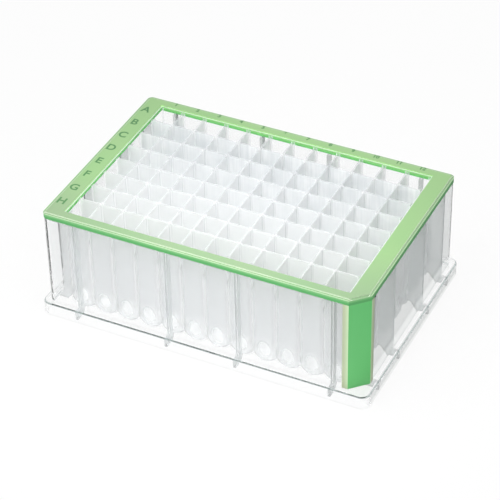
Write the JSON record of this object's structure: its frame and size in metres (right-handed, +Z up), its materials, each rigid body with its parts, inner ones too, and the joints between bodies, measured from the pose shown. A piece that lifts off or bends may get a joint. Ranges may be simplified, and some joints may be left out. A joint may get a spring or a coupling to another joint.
{
  "type": "well plate",
  "caption": "Clear deep plate with a grid of square wells with domed bottoms, a stepped base flange, and a green border with row letters, column numbers and one cut corner.",
  "frame": {"origin": "middle of the base flange's footprint, on the surface the plate stands on", "axes": "+X along the rows towards column 12, +Y along the columns towards row A, +Z up out of the wells"},
  "size_m": [0.1278, 0.0854, 0.0441],
  "materials": {
    "clear_plastic": "clear, polished",
    "green_plastic": "satin, slightly translucent"
  },
  "bodies": {
    "root": {"plate_body": "clear_plastic", "top_border": "green_plastic"}
  },
  "joints": []
}
